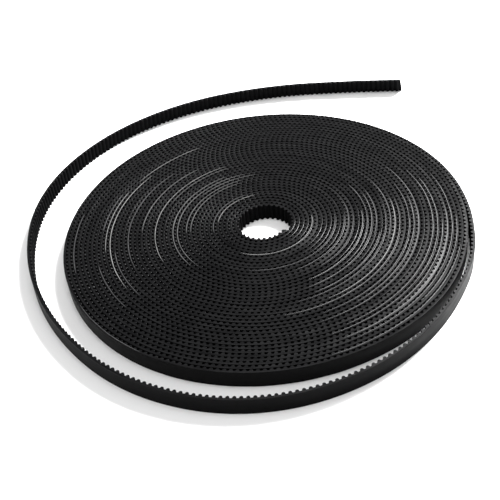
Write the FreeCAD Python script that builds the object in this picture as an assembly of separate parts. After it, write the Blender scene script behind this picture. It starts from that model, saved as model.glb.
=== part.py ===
import FreeCAD, Part
import math
import os

# Open-ended timing belt, 2 mm tooth pitch, 6 mm wide, lying on its edge as a
# wound coil with one free tail around it. Millimetres, +Z up, the coil's core
# hole is centred on the Z axis and the belt's lower edge is in the plane Z = 0.

os.makedirs("parts", exist_ok=True)
V = FreeCAD.Vector

# ---- driving dimensions of the belt section -------------------------------
WIDTH = 6.0            # belt width, stands along Z
PITCH = 2.0            # tooth pitch, measured on the pitch line
TOOTH_H = 0.76         # tooth height, land to tip
LAND_TO_CORD = 0.25    # land to pitch line (centre of the cords)
CORD_TO_BACK = 0.51    # pitch line to smooth back
TOTAL_T = TOOTH_H + LAND_TO_CORD + CORD_TO_BACK   # 1.52 overall thickness
CORD_D = 0.28          # glass-fibre tension cord
CORD_COUNT = 10
CORD_SPACING = 0.56
CORD_Z0 = (WIDTH - (CORD_COUNT - 1) * CORD_SPACING) / 2.0

# ---- driving dimensions of the wound coil ---------------------------------
TURN_PITCH = 1.572     # radial distance from one turn to the next
R_OUT = 69.9           # pitch-line radius of the outermost back half-turn
FULL_HALF_TURNS = 76   # complete half-turns between the two partial ones
OUTER_SWEEP = 174.0    # degrees of the outermost, partial half-turn
INNER_SWEEP = 142.8    # degrees of the innermost, partial half-turn
X_BACK = TURN_PITCH / 4.0     # centre of every half-turn behind the X axis
X_FRONT = -TURN_PITCH / 4.0   # centre of every half-turn in front of it

# ---- driving dimensions of the free tail ----------------------------------
# Twelve lengths, each one arc, tangent to the one before. A length holds a
# whole number of teeth and ends in the middle of a land.
LINK_LENGTH = 38.0
LAST_LENGTH = 39.0
LINK_R = [77.12, 81.57, 74.45, 66.76, 75.98, 103.29,
          97.31, 73.45, 82.02, 95.52, 138.53, 431.42]
GAP = 0.12             # clear cut between two lengths at the pitch line
BACK_RELIEF = 13.5     # degrees each end face leans back above the pitch line
FIRST_GAP = 0.10       # clear cut where the tail leaves the coil, all in the tail
FIRST_RELIEF = 27.0    # degrees of lean there, as the coil's end face is radial
END_SKEW = 6.0         # degrees the tail's hand-cut end is out of square

# The tooth: straight flanks from the land up to a round tip.
ROOT_HALF = 0.66       # half width of the tooth at the land
SHOULDER_HALF = 0.50   # half width where the flank meets the round tip
SHOULDER_H = 0.44      # height of that point above the land
MEAN_TOOTH_H = 0.40    # plain band that has the same rubber as the teeth
TOOTHED_OUTER_ARCS = 3   # half-turns with every tooth cut, at the coil's rim
TOOTHED_INNER_ARCS = 3   # and around the core hole


class Arc(object):
    """A stretch of the pitch line. phi is the angle of the outward normal;
    it falls as the belt runs clockwise seen from above."""

    def __init__(self, cx, cy, r, phi0, length, s0):
        self.cx, self.cy, self.r = cx, cy, r
        self.phi0, self.length, self.s0 = phi0, length, s0
        self.s1 = s0 + length

    def phi(self, s):
        return self.phi0 - (s - self.s0) / self.r

    def at(self, s, out, z=0.0):
        """Point at distance s along the pitch line, out along the normal."""
        a = self.phi(s)
        q = self.r + out
        return V(self.cx + q * math.cos(a), self.cy + q * math.sin(a), z)


# ---- the pitch line ---------------------------------------------------------
# s = 0 is where the tail leaves the coil; it is negative along the coil.
coil_arcs = []
phi_end = math.radians(6.0)
sweep = math.radians(OUTER_SWEEP)
s = -R_OUT * sweep
coil_arcs.append(Arc(X_BACK, 0.0, R_OUT, math.pi, R_OUT * sweep, s))
for j in range(1, FULL_HALF_TURNS + 2):
    r = R_OUT - j * TURN_PITCH / 2.0
    front = (j % 2 == 1)
    sweep = math.pi if j <= FULL_HALF_TURNS else math.radians(INNER_SWEEP)
    end_phi = -math.pi if front else 0.0
    s -= r * sweep
    coil_arcs.append(Arc(X_FRONT if front else X_BACK, 0.0, r,
                         end_phi + sweep, r * sweep, s))
coil_arcs.reverse()
COIL_LENGTH = -coil_arcs[0].s0

tail_arcs = []
last = coil_arcs[-1]
px, py = last.at(0.0, 0.0).x, last.at(0.0, 0.0).y
phi = phi_end
s = 0.0
for i, r in enumerate(LINK_R):
    length = LINK_LENGTH if i < len(LINK_R) - 1 else LAST_LENGTH
    cx = px - r * math.cos(phi)
    cy = py - r * math.sin(phi)
    arc = Arc(cx, cy, r, phi, length, s)
    tail_arcs.append(arc)
    s += length
    p = arc.at(s, 0.0)
    px, py = p.x, p.y
    phi = arc.phi(s)


# ---- outlines ---------------------------------------------------------------
def toothed_edges(arc, s0, s1):
    """Outline of the toothed side between two stations. Teeth are centred on
    odd distances and lands on even ones; a tooth that would cross an end of
    the stretch is left out there, so both ends are land."""
    edges = []
    land = -LAND_TO_CORD
    here = s0
    i = int(math.ceil((s0 + ROOT_HALF - 1.0) / PITCH))
    while 1.0 + i * PITCH + ROOT_HALF < s1:
        c = 1.0 + i * PITCH
        if c - ROOT_HALF > here + 1e-6:
            edges.append(arc_edge(arc, here, c - ROOT_HALF, land, 0.0))
        a = arc.at(c - ROOT_HALF, land)
        b = arc.at(c - SHOULDER_HALF, land - SHOULDER_H)
        t = arc.at(c, land - TOOTH_H)
        d = arc.at(c + SHOULDER_HALF, land - SHOULDER_H)
        e = arc.at(c + ROOT_HALF, land)
        edges += [Part.makeLine(a, b), Part.Arc(b, t, d).toShape(),
                  Part.makeLine(d, e)]
        here = c + ROOT_HALF
        i += 1
    edges.append(arc_edge(arc, here, s1, land, 0.0))
    return edges


def arc_edge(arc, s0, s1, out, z):
    return Part.Arc(arc.at(s0, out, z), arc.at((s0 + s1) / 2.0, out, z),
                    arc.at(s1, out, z)).toShape()


def strip(arcs, outer, inner, z0=0.0, height=WIDTH, teeth=()):
    """Solid strip that follows several arcs, from outer to inner across its
    thickness. Arcs whose number is in teeth have the toothed inner side."""
    faces = []
    for n, arc in enumerate(arcs):
        s0, s1 = arc.s0, arc.s1
        own = -LAND_TO_CORD if n in teeth else inner
        loop = [arc_edge(arc, s0, s1, outer, 0.0),
                Part.makeLine(arc.at(s1, outer), arc.at(s1, own))]
        loop += toothed_edges(arc, s0, s1) if n in teeth else [
            arc_edge(arc, s0, s1, inner, 0.0)]
        loop.append(Part.makeLine(arc.at(s0, own), arc.at(s0, outer)))
        solid = Part.Face(Part.Wire(Part.__sortEdges__(loop))).extrude(
            V(0, 0, height))
        if len(arcs) == 1:
            solid.translate(V(0, 0, z0))
            return solid
        m0 = (arc.at(s0, outer) + arc.at(s0, own)) * 0.5
        m1 = (arc.at(s1, outer) + arc.at(s1, own)) * 0.5
        for f in solid.Faces:
            c = f.CenterOfMass
            if (f.Surface.TypeId == "Part::GeomPlane"
                    and abs(c.z - height / 2.0) < 1e-4):
                if n > 0 and math.hypot(c.x - m0.x, c.y - m0.y) < 0.01:
                    continue
                if n < len(arcs) - 1 and math.hypot(c.x - m1.x, c.y - m1.y) < 0.01:
                    continue
            faces.append(f)
        if n < len(arcs) - 1:
            # a step where the toothed side meets the plain band
            nxt = -LAND_TO_CORD if n + 1 in teeth else inner
            if abs(nxt - own) > 1e-6:
                step = Part.makeLine(arc.at(s1, own), arc.at(s1, nxt))
                faces.append(step.extrude(V(0, 0, height)))
    shell = Part.Shell(faces)
    shell.sewShape()
    body = Part.Solid(shell)
    if body.Volume < 0:
        body.reverse()
    body.translate(V(0, 0, z0))
    return body


def cord(arcs, z):
    """One tension cord along the pitch line, drawn with a square section."""
    return strip(arcs, CORD_D / 2.0, -CORD_D / 2.0, z - CORD_D / 2.0, CORD_D)


def shifted(arc, d0, d1):
    """The same arc with its two ends moved in by d0 and d1."""
    b = Arc(arc.cx, arc.cy, arc.r, arc.phi(arc.s0 + d0),
            arc.length - d0 - d1, arc.s0 + d0)
    return b


def save(name, shape):
    if not shape.isValid():
        print("NOT VALID", name)
    print("%-22s solids %d faces %4d volume %.2f" % (
        name, len(shape.Solids), len(shape.Faces), shape.Volume))
    shape.exportStep("parts/%s.step" % name)


Part.setStaticValue("write.surfacecurve.mode", 0)
print("coil length %.1f mm, %d teeth; tail length %.1f mm" % (
    COIL_LENGTH, round(COIL_LENGTH / PITCH), tail_arcs[-1].s1))

# ---- the wound coil ---------------------------------------------------------
save("coil_back_rubber", strip(coil_arcs, CORD_TO_BACK, 0.0))
n_arcs = len(coil_arcs)
real = set(range(TOOTHED_INNER_ARCS)) | set(
    range(n_arcs - TOOTHED_OUTER_ARCS, n_arcs))
save("coil_tooth_rubber",
     strip(coil_arcs, 0.0, -LAND_TO_CORD - MEAN_TOOTH_H, teeth=real))
for i in range(CORD_COUNT):
    save("coil_cord_%02d" % (i + 1), cord(coil_arcs, CORD_Z0 + i * CORD_SPACING))

# ---- the free tail, one length at a time -------------------------------------
lean = CORD_TO_BACK * math.tan(math.radians(BACK_RELIEF))
first_lean = CORD_TO_BACK * math.tan(math.radians(FIRST_RELIEF))
for i, arc in enumerate(tail_arcs):
    is_end = (i == len(tail_arcs) - 1)
    d0 = FIRST_GAP if i == 0 else GAP / 2.0
    d1 = 0.0 if is_end else GAP / 2.0
    s0, s1 = arc.s0 + d0, arc.s1 - d1
    b0 = s0 + (first_lean if i == 0 else lean)
    b1 = s1 if is_end else s1 - lean
    edges = [arc_edge(arc, s0, s1, 0.0, 0.0),
             Part.makeLine(arc.at(s1, 0.0), arc.at(b1, CORD_TO_BACK)),
             arc_edge(arc, b0, b1, CORD_TO_BACK, 0.0),
             Part.makeLine(arc.at(b0, CORD_TO_BACK), arc.at(s0, 0.0))]
    back = Part.Face(Part.Wire(Part.__sortEdges__(edges))).extrude(
        V(0, 0, WIDTH))
    teeth = strip([shifted(arc, d0, d1)], 0.0, 0.0, teeth=(0,))
    strands = [cord([shifted(arc, d0, d1)], CORD_Z0 + k * CORD_SPACING)
               for k in range(CORD_COUNT)]
    if is_end:
        # the end was cut by hand: the cut leans, so the upper edge is shorter
        a = arc.phi(arc.s1)
        tx, ty = math.sin(a), -math.cos(a)      # along the belt, clockwise
        top = WIDTH * math.tan(math.radians(END_SKEW))
        p = arc.at(arc.s1, 0.0)
        pts = [V(p.x - nx * 4 + tx * q, p.y - ny * 4 + ty * q, z)
               for nx, ny in [(math.cos(a), math.sin(a))]
               for q, z in [(0.0, 0.0), (3.0, 0.0), (3.0, WIDTH), (-top, WIDTH)]]
        w = Part.Face(Part.makePolygon(pts + [pts[0]]))
        wedge = w.extrude(V(math.cos(a) * 8, math.sin(a) * 8, 0))
        back = back.cut(wedge)
        teeth = teeth.cut(wedge)
        strands = [k.cut(wedge) for k in strands]
    tag = "tail_%02d" % (i + 1)
    save(tag + "_back_rubber", back)
    save(tag + "_tooth_rubber", teeth)
    save(tag + "_cords", Part.makeCompound([x for k in strands for x in k.Solids]))
    h = arc.at(arc.s0, 0.0)
    print("  hinge %d at %.4f %.4f" % (i + 1, h.x, h.y))
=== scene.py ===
"""Open-ended timing belt, wound as a flat coil on its edge with a free tail."""
import bpy
import math
import numpy as np
from mathutils import Matrix, Vector


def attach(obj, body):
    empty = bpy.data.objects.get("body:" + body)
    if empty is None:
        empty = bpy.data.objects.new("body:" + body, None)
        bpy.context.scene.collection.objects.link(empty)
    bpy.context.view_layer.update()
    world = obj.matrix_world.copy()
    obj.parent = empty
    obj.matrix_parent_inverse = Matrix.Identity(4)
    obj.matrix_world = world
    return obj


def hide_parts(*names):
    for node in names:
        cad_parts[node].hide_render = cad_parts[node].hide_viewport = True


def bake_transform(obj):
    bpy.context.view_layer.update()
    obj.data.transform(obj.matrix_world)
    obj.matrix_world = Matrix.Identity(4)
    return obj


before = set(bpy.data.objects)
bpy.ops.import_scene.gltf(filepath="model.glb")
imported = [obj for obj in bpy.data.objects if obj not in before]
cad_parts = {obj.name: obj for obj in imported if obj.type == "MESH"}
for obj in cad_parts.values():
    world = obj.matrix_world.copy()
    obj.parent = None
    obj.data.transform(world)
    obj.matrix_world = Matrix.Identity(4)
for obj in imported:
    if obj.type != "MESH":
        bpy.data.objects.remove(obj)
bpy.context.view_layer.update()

# ---- belt section, millimetres ---------------------------------------------
WIDTH, PITCH = 6.0, 2.0
TOOTH_H, LAND, BACK = 0.76, 0.25, 0.51
BEVEL = 0.13
CORD_R = 0.14
TURN_PITCH, R_OUT = 1.572, 69.9
HALF_TURNS = 76
OUTER_SWEEP, INNER_SWEEP = 174.0, 142.8
X_BACK, X_FRONT = TURN_PITCH / 4.0, -TURN_PITCH / 4.0
LINK, LAST = 38.0, 39.0
LINK_R = [77.12, 81.57, 74.45, 66.76, 75.98, 103.29,
          97.31, 73.45, 82.02, 95.52, 138.53, 431.42]
END_SKEW = 6.0
LEAN_END = 1.9           # how far the tail's upper edge leans in at its end


# ---- the pitch line: arcs as (cx, cy, r, phi0, s0, s1) -----------------------
arcs = []
s = -R_OUT * math.radians(OUTER_SWEEP)
arcs.append((X_BACK, 0.0, R_OUT, math.pi, s, 0.0))
for j in range(1, HALF_TURNS + 2):
    r = R_OUT - j * TURN_PITCH / 2.0
    front = j % 2 == 1
    sweep = math.pi if j <= HALF_TURNS else math.radians(INNER_SWEEP)
    end = -math.pi if front else 0.0
    arcs.append((X_FRONT if front else X_BACK, 0.0, r, end + sweep,
                 s - r * sweep, s))
    s -= r * sweep
arcs.reverse()
COIL_START = arcs[0][4]
last = arcs[-1]
phi = math.radians(6.0)
px, py = last[0] + last[2] * math.cos(phi), last[1] + last[2] * math.sin(phi)
s = 0.0
hinges = []
for i, r in enumerate(LINK_R):
    hinges.append((px, py))
    length = LINK if i < len(LINK_R) - 1 else LAST
    cx, cy = px - r * math.cos(phi), py - r * math.sin(phi)
    arcs.append((cx, cy, r, phi, s, s + length))
    s += length
    phi -= length / r
    px, py = cx + r * math.cos(phi), cy + r * math.sin(phi)
TAIL_END = s
A = np.array(arcs)


def frame_at(s):
    """Pitch-line point, outward normal and angle of the normal at each s."""
    k = np.clip(np.searchsorted(A[:, 4], s, side="right") - 1, 0, len(A) - 1)
    ph = A[k, 3] - (s - A[k, 4]) / A[k, 2]
    n = np.stack([np.cos(ph), np.sin(ph)], -1)
    p = np.stack([A[k, 0], A[k, 1]], -1) + n * A[k, 2][:, None]
    return p, n


def wave(s, seed, step):
    """Smooth repeatable wander between -1 and 1 along the belt."""
    rng = np.random.RandomState(seed)
    v = rng.uniform(-1, 1, int((TAIL_END - COIL_START) / step) + 4)
    t = (np.asarray(s, float) - COIL_START) / step + 1
    i = np.floor(t).astype(int)
    f = t - i
    f = f * f * (3 - 2 * f)
    i = np.clip(i, 0, len(v) - 2)
    return v[i] * (1 - f) + v[i + 1] * f


def rise(s):
    """How far the belt sits above the plane it stands on."""
    s = np.asarray(s, float)
    coil = 0.10 + 0.06 * wave(s, 3, 90.0) + 0.04 * wave(s, 4, 31.0)
    k = np.clip(-s / 200.0, 0, 1)
    return coil * k


def slope(s):
    """Slant of the slit upper edge across the belt's thickness."""
    s = np.asarray(s, float)
    return (0.09 * wave(s, 21, 140.0) + 0.06 * wave(s, 22, 37.0)
            ) * np.clip(-s / 200.0, 0.25, 1)


def lean(s):
    """How far the upper edge leans in from the lower one."""
    u = np.clip(np.asarray(s, float) / TAIL_END, 0, 1)
    return LEAN_END * u ** 2.2


def bow(s):
    """Small outward swells: the tail after it leaves the coil, and the coil's
    outer turns beside it, which have eased apart a little."""
    s = np.asarray(s, float)
    tail = 0.48 * np.exp(-((s - 38.0) / 11.0) ** 2) * (s > 0) * (s < 90)
    p, n = frame_at(s)
    a = np.degrees(np.arctan2(p[:, 1], p[:, 0]))
    r = np.hypot(p[:, 0], p[:, 1])
    coil = 0.50 * np.exp(-((a + 44.0) / 18.0) ** 2 - ((69.9 - r) / 9.0) ** 2)
    return tail + coil * (s < 0)


# one tooth: (distance from its centre, height over the land)
TOOTH = [(-0.66, 0.0), (-0.50, 0.44), (-0.40, 0.588), (-0.22, 0.714),
         (0.0, TOOTH_H), (0.22, 0.714), (0.40, 0.588), (0.50, 0.44),
         (0.66, 0.0), (1.0, 0.0)]


def stations(s0, s1):
    ss, hh = [s0], [0.0]
    i = int(math.floor((s0 - 1) / PITCH))
    while True:
        c = 1.0 + i * PITCH
        if c - 1.0 > s1:
            break
        if c - 0.66 > s0 + 1e-6 and c + 0.66 < s1 - 1e-6:
            for d, h in TOOTH:
                if c + d < s1 - 1e-6:
                    ss.append(c + d)
                    hh.append(h)
        i += 1
    ss.append(s1)
    hh.append(0.0)
    return np.array(ss), np.array(hh)


# ---- materials --------------------------------------------------------------
def material(name, color, rough, spec=0.5):
    m = bpy.data.materials.new(name)
    m.use_nodes = True
    b = m.node_tree.nodes["Principled BSDF"]
    b.inputs["Base Color"].default_value = (*color, 1)
    b.inputs["Roughness"].default_value = rough
    b.inputs["Specular IOR Level"].default_value = spec
    return m, m.node_tree, b


def rubber(name, color, dust, rough, spec):
    """Black rubber with a little pale dust and uneven sheen along the belt."""
    m, nt, b = material(name, color, rough, spec)
    uv = nt.nodes.new("ShaderNodeUVMap")
    uv.uv_map = "belt"
    mapping = nt.nodes.new("ShaderNodeMapping")
    mapping.inputs["Scale"].default_value = (0.12, 0.7, 1.0)
    nt.links.new(uv.outputs["UV"], mapping.inputs["Vector"])
    noise = nt.nodes.new("ShaderNodeTexNoise")
    noise.inputs["Scale"].default_value = 1.0
    noise.inputs["Detail"].default_value = 5.0
    noise.inputs["Roughness"].default_value = 0.62
    nt.links.new(mapping.outputs["Vector"], noise.inputs["Vector"])
    ramp = nt.nodes.new("ShaderNodeMapRange")
    ramp.inputs["From Min"].default_value = 0.42
    ramp.inputs["From Max"].default_value = 0.78
    nt.links.new(noise.outputs["Fac"], ramp.inputs["Value"])
    mix = nt.nodes.new("ShaderNodeMix")
    mix.data_type = "RGBA"
    mix.inputs["A"].default_value = (*color, 1)
    mix.inputs["B"].default_value = (*dust, 1)
    nt.links.new(ramp.outputs["Result"], mix.inputs["Factor"])
    nt.links.new(mix.outputs["Result"], b.inputs["Base Color"])
    rr = nt.nodes.new("ShaderNodeMapRange")
    rr.inputs["From Min"].default_value = 0.3
    rr.inputs["From Max"].default_value = 0.7
    rr.inputs["To Min"].default_value = rough - 0.07
    rr.inputs["To Max"].default_value = rough + 0.09
    nt.links.new(noise.outputs["Fac"], rr.inputs["Value"])
    nt.links.new(rr.outputs["Result"], b.inputs["Roughness"])
    return m


M_BACK = rubber("belt_back_rubber", (0.0011, 0.0011, 0.0013), (0.0028, 0.0028, 0.0031), 0.46, 0.035)
M_TEETH = rubber("belt_tooth_rubber", (0.0028, 0.0028, 0.0031), (0.0045, 0.0045, 0.0048), 0.75, 0.02)
M_EDGE_B = rubber("belt_cut_edge_back", (0.0010, 0.0010, 0.0012), (0.0040, 0.0040, 0.0043), 0.30, 0.085)
M_EDGE_T = rubber("belt_cut_edge_tooth", (0.0009, 0.0009, 0.0011), (0.0034, 0.0034, 0.0037), 0.32, 0.08)
RUBBERS = [M_BACK, M_TEETH, M_EDGE_B, M_EDGE_T]
# the cord's own colour, then two darker copies of it that are painted shade for bare cord stretches
# that catch less light
M_CORD = material("cord_fibre_own_colour", (0.13, 0.13, 0.128), 0.5)[0]
M_CORD_PAINTED_HALF_SHADE = material("cord_fibre_painted_half_shade", (0.05, 0.05, 0.05), 0.5)[0]
M_CORD_PAINTED_SHADE = material("cord_fibre_painted_shade", (0.022, 0.022, 0.023), 0.5)[0]


def mesh(name, verts, faces, mats, index=None, uv=None):
    me = bpy.data.meshes.new(name)
    me.from_pydata((verts / 1000.0).tolist(), [], faces.tolist() if hasattr(faces, "tolist") else faces)
    for m in mats:
        me.materials.append(m)
    if index is not None:
        me.polygons.foreach_set("material_index", np.asarray(index, np.int32))
    if uv is not None:
        layer = me.uv_layers.new(name="belt")
        layer.data.foreach_set("uv", np.asarray(uv, np.float32).ravel())
    me.update()
    ob = bpy.data.objects.new(name, me)
    bpy.context.scene.collection.objects.link(ob)
    return ob


def belt(name, s0, s1, skew=0.0):
    """The belt from s0 to s1, every tooth in place, closed at both ends."""
    ss, hh = stations(s0, s1)
    n = len(ss)
    b = BEVEL
    qi = -(LAND + hh)
    o = np.full(n, BACK)
    z0, z1 = np.zeros(n), np.full(n, WIDTH)
    q = np.stack([o, o, o - 0.3 * b, o - b, 0 * o, qi + b, qi + 0.3 * b, qi,
                  qi, 0 * o], 1)
    z = np.stack([z0, z1 - b, z1 - 0.3 * b, z1, z1, z1, z1 - 0.3 * b, z1 - b,
                  z0, z0], 1)
    z = z + slope(ss)[:, None] * q * (z > 3)
    q = q + (0.012 * wave(ss, 7, 23.0) * np.clip(-ss / 100.0, 0, 1))[:, None]
    q = q - lean(ss)[:, None] * z / WIDTH + bow(ss)[:, None]
    # on the left the tail tips the other way: its lower edge sits further in
    tip = np.exp(-((ss - 277.0) / 40.0) ** 2) * (np.abs(ss - 277.0) < 110)
    q = q + tip[:, None] * (0.85 * z / WIDTH - 0.55)
    st = np.repeat(ss[:, None], 10, 1)
    if skew:
        # the hand-cut end: the upper edge is shorter
        back = (z / WIDTH) * skew
        w = np.clip((ss - (s1 - 1.0)) / 1.0, 0, 1)[:, None]
        st = st - back * w
    p, nrm = frame_at(st.ravel())
    p = p + nrm * q.ravel()[:, None]
    v = np.concatenate([p, (z + rise(ss)[:, None]).reshape(-1, 1)], 1)
    i = np.arange(n - 1)[:, None] * 10
    k = np.arange(10)[None, :]
    k2 = (k + 1) % 10
    # s grows clockwise, so this order faces outwards
    f = np.stack([i + k, i + k2, i + k2 + 10, i + k + 10], -1).reshape(-1, 4)
    mat = np.tile([0, 2, 2, 2, 3, 3, 3, 1, 3, 2], n - 1)
    around = np.array([0, 6, 6.1, 6.2, 7, 8, 8.2, 8.3, 14.3, 15, 16])
    u0 = np.repeat(ss[:-1], 10)
    u1 = np.repeat(ss[1:], 10)
    va = np.tile(around[:10], n - 1)
    vb = np.tile(around[1:], n - 1)
    uv = np.stack([np.stack([u0, va], -1), np.stack([u0, vb], -1),
                   np.stack([u1, vb], -1), np.stack([u1, va], -1)], 1)
    faces = f.tolist() + [list(range(9, -1, -1)),
                          [(n - 1) * 10 + t for t in range(10)]]
    mat = np.concatenate([mat, [2, 2]])
    cap = np.stack([np.linspace(0, 1, 10), np.linspace(0, 6, 10)], -1)
    uv = np.concatenate([uv.reshape(-1, 2), cap, cap])
    ob = mesh(name, v, faces, RUBBERS, mat, uv)
    return ob


def strand(name, spans, mat, z_in=0.03):
    """Cord strands laid bare along the belt's upper edge."""
    V, F, base = [], [], 0
    for a, e, rad in spans:
        ss = np.arange(a, e, 0.8)
        t = (ss - a) / (e - a)
        taper = np.clip(np.minimum(t, 1 - t) * 9, 0.12, 1) ** 0.5
        rr = rad * taper * (1 + 0.22 * wave(ss, 11, 2.3))
        p, nrm = frame_at(ss)
        off = 0.05 * wave(ss, 12, 6.0)
        m = 6
        for c in range(m):
            g = 2 * math.pi * c / m
            pt = p + nrm * (off + rr * math.cos(g))[:, None]
            zz = WIDTH + rise(ss) - z_in + rr * math.sin(g)
            V.append(np.concatenate([pt, zz[:, None]], 1))
        n = len(ss)
        for c in range(m):
            c2 = (c + 1) % m
            for i in range(n - 1):
                F.append([base + c * n + i, base + c2 * n + i,
                          base + c2 * n + i + 1, base + c * n + i + 1])
        F.append([base + c * n for c in range(m)][::-1])
        F.append([base + c * n + n - 1 for c in range(m)])
        base += m * n
    ob = mesh(name, np.concatenate(V), F, [mat])
    return ob


# ---- the wound coil ---------------------------------------------------------
coil_nodes = ["coil_back_rubber", "coil_tooth_rubber"]
coil_nodes += ["coil_cord_%02d" % i for i in range(1, 11)]
CUTS = [COIL_START, -7860.0, -6020.0, -4180.0, -2340.0, -500.0, 0.0]
for i in range(len(CUTS) - 1):
    ob = belt("coil_turns_%d" % (i + 1), CUTS[i], CUTS[i + 1])
    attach(ob, "coil")
    if i == 0:
        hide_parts(*coil_nodes)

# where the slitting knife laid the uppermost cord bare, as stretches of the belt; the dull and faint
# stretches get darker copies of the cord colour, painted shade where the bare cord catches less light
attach(strand("coil_bare_cord_bright", [
    (-4112, -4044, 0.13), (-3706, -3676, 0.10), (-3748, -3712, 0.10),
    (-9301, -9264, 0.12), (-9349, -9328, 0.10), (-7538, -7496, 0.09),
    (-5800, -5740, 0.10), (-6986, -6922, 0.10)], M_CORD), "coil")
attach(strand("coil_bare_cord_painted_half_shade", [
    (-7868, -7810, 0.13), (-8064, -8000, 0.12), (-6206, -6164, 0.13),
    (-8569, -8534, 0.12), (-8404, -8366, 0.12), (-8207, -8183, 0.12),
    (-5510, -5434, 0.12), (-7099, -7042, 0.12), (-6588, -6550, 0.12),
    (-4586, -4526, 0.11), (-2454, -2407, 0.12), (-2076, -1997, 0.12),
    (-2857, -2796, 0.11), (-3230, -3139, 0.11), (-7187, -7158, 0.11)],
    M_CORD_PAINTED_HALF_SHADE), "coil")
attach(strand("coil_bare_cord_painted_shade", [
    (-5375, -5316, 0.13), (-1081, -1047, 0.13), (-3383, -3361, 0.12),
    (-4450, -4424, 0.12), (-3064, -3039, 0.12), (-275, -243, 0.13),
    (-9248, -9223, 0.12), (-8647, -8601, 0.12), (-8316, -8281, 0.12),
    (-8143, -8119, 0.12), (-7946, -7915, 0.12), (-7335, -7301, 0.12),
    (-6861, -6835, 0.12), (-6344, -6283, 0.12), (-6089, -6056, 0.12),
    (-4912, -4835, 0.12), (-4277, -4182, 0.12), (-2797, -2764, 0.12),
    (-1696, -1602, 0.12), (-1264, -1219, 0.12), (-831, -764, 0.12)],
    M_CORD_PAINTED_SHADE), "coil")

# ---- the free tail: each stretch crosses one hinge ---------------------------
for i in range(12):
    a = 0.0 if i == 0 else i * LINK - 20.0
    e = i * LINK + 18.0
    ob = belt("tail_bend_%02d" % (i + 1), a, e)
    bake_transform(ob)
    t = "tail_%02d" % (i + 1)
    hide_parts(t + "_back_rubber", t + "_tooth_rubber", t + "_cords")
skew = WIDTH * math.tan(math.radians(END_SKEW))
end = belt("tail_free_end", 11 * LINK + 18.0, TAIL_END, skew)
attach(end, "tail_12")

# the ten cords showing as pale dots in the cut end
V, F = [], []
for i in range(10):
    z = 0.48 + i * 0.56
    base = len(V)
    for st in (TAIL_END - 1.2, TAIL_END - skew * z / WIDTH + 0.05):
        p, nrm = frame_at(np.array([st]))
        for c in range(8):
            g = 2 * math.pi * c / 8
            q = CORD_R * 0.95 * math.cos(g) - float(lean(st)) * z / WIDTH
            V.append([*(p[0] + nrm[0] * q), z + CORD_R * 0.95 * math.sin(g)])
    F += [[base + c, base + (c + 1) % 8, base + 8 + (c + 1) % 8, base + 8 + c]
          for c in range(8)]
    F += [[base + c for c in range(8)][::-1], [base + 8 + c for c in range(8)]]
dots = mesh("tail_end_cords", np.array(V), F, [M_CORD])
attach(dots, "tail_12")

# ---- floor, lights, camera ---------------------------------------------------
bpy.ops.mesh.primitive_plane_add(size=6.0, location=(0, 0, -0.00002))
floor = bpy.context.object
floor.name = "floor"
fm, nt, fb = material("floor_white", (0.86, 0.86, 0.86), 0.6, 0.2)
floor.data.materials.append(fm)

world = bpy.data.worlds.new("studio")
bpy.context.scene.world = world
world.use_nodes = True
bg = world.node_tree.nodes["Background"]
bg.inputs["Color"].default_value = (1, 1, 1, 1)
wnt = world.node_tree
tc = wnt.nodes.new("ShaderNodeTexCoord")
sep = wnt.nodes.new("ShaderNodeSeparateXYZ")
mr = wnt.nodes.new("ShaderNodeMapRange")
mr.inputs["From Min"].default_value = -0.7
mr.inputs["From Max"].default_value = 0.7
mr.inputs["To Min"].default_value = 0.30
mr.inputs["To Max"].default_value = 0.95
wnt.links.new(tc.outputs["Generated"], sep.inputs["Vector"])
wnt.links.new(sep.outputs["X"], mr.inputs["Value"])
wnt.links.new(mr.outputs["Result"], bg.inputs["Strength"])


def area(name, loc, target, w, h, power):
    li = bpy.data.lights.new(name, "AREA")
    li.shape = "RECTANGLE"
    li.size, li.size_y = w, h
    li.energy = power
    ob = bpy.data.objects.new(name, li)
    ob.location = loc
    ob.rotation_euler = (Vector(target) - Vector(loc)).to_track_quat("-Z", "Y").to_euler()
    bpy.context.scene.collection.objects.link(ob)
    return ob


area("softbox_back_right", (0.50, 0.50, 0.66), (0.03, -0.01, 0), 0.26, 0.26, 46.0)
area("softbox_top", (-0.05, -0.05, 1.2), (0, 0, 0), 0.6, 0.6, 7.0)

cam = bpy.data.cameras.new("camera")
cam.sensor_width = 36.0
cam.lens = 36.0 * 898.55 / 500.0
cam.clip_start, cam.clip_end = 0.01, 20.0
co = bpy.data.objects.new("camera", cam)
th, ro = 0.695365, -0.130076
fw = Vector((0, math.cos(th), -math.sin(th)))
rt = Vector((1, 0, 0))
up = rt.cross(fw)
r2 = rt * math.cos(ro) + up * math.sin(ro)
u2 = -rt * math.sin(ro) + up * math.cos(ro)
M = Matrix.Identity(4)
for c, vec in enumerate((r2, u2, -fw)):
    for rr in range(3):
        M[rr][c] = vec[rr]
M[0][3], M[1][3], M[2][3] = -0.00594, -0.245507, 0.199231
co.matrix_world = M
bpy.context.scene.collection.objects.link(co)
bpy.context.scene.camera = co
bpy.context.scene.view_settings.view_transform = "Standard"
